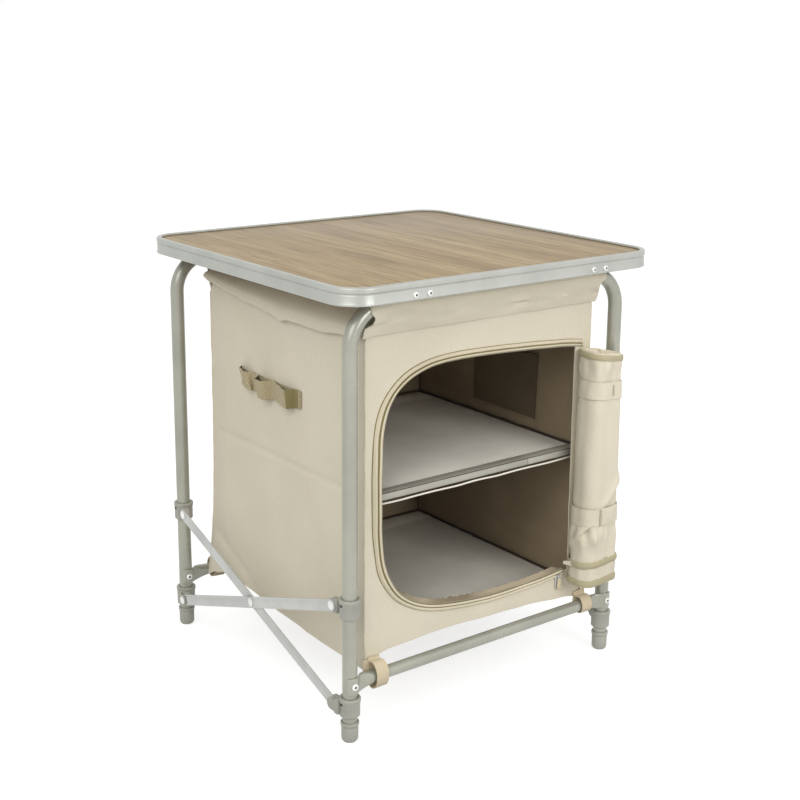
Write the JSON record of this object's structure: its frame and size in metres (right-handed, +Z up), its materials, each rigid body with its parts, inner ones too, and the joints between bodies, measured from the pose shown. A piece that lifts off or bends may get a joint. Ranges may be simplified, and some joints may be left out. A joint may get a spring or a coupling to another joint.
{
  "type": "folding camp table with shelves",
  "caption": "Folding camp table: laminated square top on two tube frames with scissor sides, over a hanging cloth cupboard with stiff shelves and a rolled-up door.",
  "frame": {"origin": "on the floor, under the middle of the tabletop", "axes": "+Z up, +X to the right and +Y away from a person who faces the door"},
  "size_m": [0.505, 0.494, 0.585],
  "materials": {
    "wood_laminate": "satin wood-grain laminate, grain from front to back",
    "aluminium": "satin anodised extrusion",
    "powder_coated_tube": "silver-grey powder coat, low gloss",
    "grey_plastic": "moulded grey nylon",
    "zinc_steel": "zinc-plated flat steel",
    "beige_polyester": "matt plain-weave polyester with sewn hems",
    "lining": "uncoated dark taupe lining",
    "grey_shelf_cloth": "grey cloth glued on a stiff board",
    "khaki_webbing": "woven khaki tape",
    "cream_zip": "cream zip tape with a coil zip"
  },
  "bodies": {
    "front_frame": {"front_frame_tube": "powder_coated_tube", "front_crossbar": "powder_coated_tube", "foot_front_left": "grey_plastic", "foot_front_right": "grey_plastic", "collar_front_lower_left": "grey_plastic", "collar_front_lower_right": "grey_plastic", "pivot_rivet_front_lower_left": "zinc_steel", "pivot_rivet_front_lower_right": "zinc_steel", "front_panel": "beige_polyester", "side_panel_left": "beige_polyester", "side_panel_right": "beige_polyester", "bottom_panel": "lining", "shelf_cloth": "lining", "inner_pocket": "lining", "front_bar_sleeve": "beige_polyester", "door_zip_band": "cream_zip", "door_roll": "beige_polyester", "roll_tie_lower": "beige_polyester", "roll_tie_upper": "beige_polyester", "side_webbing": "khaki_webbing", "corner_tie_front_left": "khaki_webbing", "corner_tie_front_right": "khaki_webbing"},
    "rear_frame": {"rear_frame_tube": "powder_coated_tube", "rear_crossbar": "powder_coated_tube", "foot_rear_left": "grey_plastic", "foot_rear_right": "grey_plastic", "collar_rear_lower_left": "grey_plastic", "collar_rear_lower_right": "grey_plastic", "pivot_rivet_rear_lower_left": "zinc_steel", "pivot_rivet_rear_lower_right": "zinc_steel", "rear_panel": "beige_polyester", "rear_bar_sleeve": "beige_polyester", "corner_tie_rear_left": "khaki_webbing", "corner_tie_rear_right": "khaki_webbing"},
    "tabletop": {"tabletop_board": "wood_laminate", "edge_profile": "aluminium", "bar_clip_front_left": "aluminium", "bar_clip_front_right": "aluminium", "bar_clip_rear_left": "aluminium", "bar_clip_rear_right": "aluminium"},
    "mid_shelf": {"mid_shelf_board": "grey_shelf_cloth", "shelf_edge_strip": "aluminium"},
    "bottom_shelf": {"bottom_board": "grey_shelf_cloth"},
    "zip_puller": {"zip_puller": "zinc_steel"},
    "inner_bar_left": {"inner_bar_left": "zinc_steel", "centre_rivet_left": "zinc_steel"},
    "outer_bar_left": {"outer_bar_left": "zinc_steel"},
    "front_collar_left": {"collar_front_upper_left": "grey_plastic", "pivot_rivet_front_upper_left": "zinc_steel"},
    "rear_collar_left": {"collar_rear_upper_left": "grey_plastic", "pivot_rivet_rear_upper_left": "zinc_steel"},
    "inner_bar_right": {"inner_bar_right": "zinc_steel", "centre_rivet_right": "zinc_steel"},
    "outer_bar_right": {"outer_bar_right": "zinc_steel"},
    "front_collar_right": {"collar_front_upper_right": "grey_plastic", "pivot_rivet_front_upper_right": "zinc_steel"},
    "rear_collar_right": {"collar_rear_upper_right": "grey_plastic", "pivot_rivet_rear_upper_right": "zinc_steel"}
  },
  "joints": [
    {"name": "fold", "type": "hinge", "parent": "front_frame", "child": "inner_bar_left", "pos_m": [-0.2313, -0.183, 0.047], "axis": [1, 0, 0], "range_deg": [0, 63.38], "deforming": ["side_panel_left", "side_panel_right", "bottom_panel", "shelf_cloth", "inner_pocket"]},
    {"name": "fold_right", "type": "hinge", "parent": "front_frame", "child": "inner_bar_right", "pos_m": [0.2313, -0.183, 0.047], "axis": [1, 0, 0], "range_deg": [0, 63.4]},
    {"name": "scissor_left", "type": "hinge", "parent": "inner_bar_left", "child": "outer_bar_left", "pos_m": [-0.2326, 0.009, 0.113], "axis": [1, 0, 0], "range_deg": [-126.8, 0]},
    {"name": "scissor_right", "type": "hinge", "parent": "inner_bar_right", "child": "outer_bar_right", "pos_m": [0.2326, 0.009, 0.113], "axis": [1, 0, 0], "range_deg": [-126.8, 0]},
    {"name": "rear_frame_pivot", "type": "hinge", "parent": "outer_bar_left", "child": "rear_frame", "pos_m": [-0.2339, 0.201, 0.047], "axis": [1, 0, 0], "range_deg": [0, 63.4]},
    {"name": "rear_collar_pivot_left", "type": "hinge", "parent": "inner_bar_left", "child": "rear_collar_left", "pos_m": [-0.2313, 0.201, 0.179], "axis": [1, 0, 0], "range_deg": [-63.4, 0]},
    {"name": "front_collar_pivot_left", "type": "hinge", "parent": "outer_bar_left", "child": "front_collar_left", "pos_m": [-0.2339, -0.183, 0.179], "axis": [1, 0, 0], "range_deg": [0, 63.4]},
    {"name": "rear_collar_pivot_right", "type": "hinge", "parent": "inner_bar_right", "child": "rear_collar_right", "pos_m": [0.2313, 0.201, 0.179], "axis": [1, 0, 0], "range_deg": [-63.4, 0]},
    {"name": "front_collar_pivot_right", "type": "hinge", "parent": "outer_bar_right", "child": "front_collar_right", "pos_m": [0.2339, -0.183, 0.179], "axis": [1, 0, 0], "range_deg": [0, 63.4]},
    {"name": "tabletop_lift", "type": "slide", "parent": "front_frame", "child": "tabletop", "axis": [0, 0, 1], "range_m": [0, 0.2501]},
    {"name": "mid_shelf_hinge", "type": "hinge", "parent": "front_frame", "child": "mid_shelf", "pos_m": [0, -0.1775, 0.2949], "axis": [1, 0, 0], "range_deg": [0, 90]},
    {"name": "bottom_shelf_hinge", "type": "hinge", "parent": "front_frame", "child": "bottom_shelf", "pos_m": [0, -0.1731, 0.0979], "axis": [1, 0, 0], "range_deg": [0, 90]},
    {"name": "zip_puller_swing", "type": "hinge", "parent": "front_frame", "child": "zip_puller", "pos_m": [0.1415, -0.1966, 0.128], "axis": [-1, 0, 0], "range_deg": [0, 110]}
  ],
  "couplings": [
    {"joint": "fold_right", "follows": "fold", "ratio": 1},
    {"joint": "scissor_left", "follows": "fold", "ratio": -2},
    {"joint": "scissor_right", "follows": "fold", "ratio": -2},
    {"joint": "rear_frame_pivot", "follows": "fold", "ratio": 1},
    {"joint": "rear_collar_pivot_left", "follows": "fold", "ratio": -1},
    {"joint": "front_collar_pivot_left", "follows": "fold", "ratio": 1},
    {"joint": "rear_collar_pivot_right", "follows": "fold", "ratio": -1},
    {"joint": "front_collar_pivot_right", "follows": "fold", "ratio": 1},
    {"joint": "tabletop_lift", "follows": "fold", "m_per_rad": 0.226},
    {"joint": "mid_shelf_hinge", "follows": "fold", "ratio": 1.42},
    {"joint": "bottom_shelf_hinge", "follows": "fold", "ratio": 1.42}
  ]
}
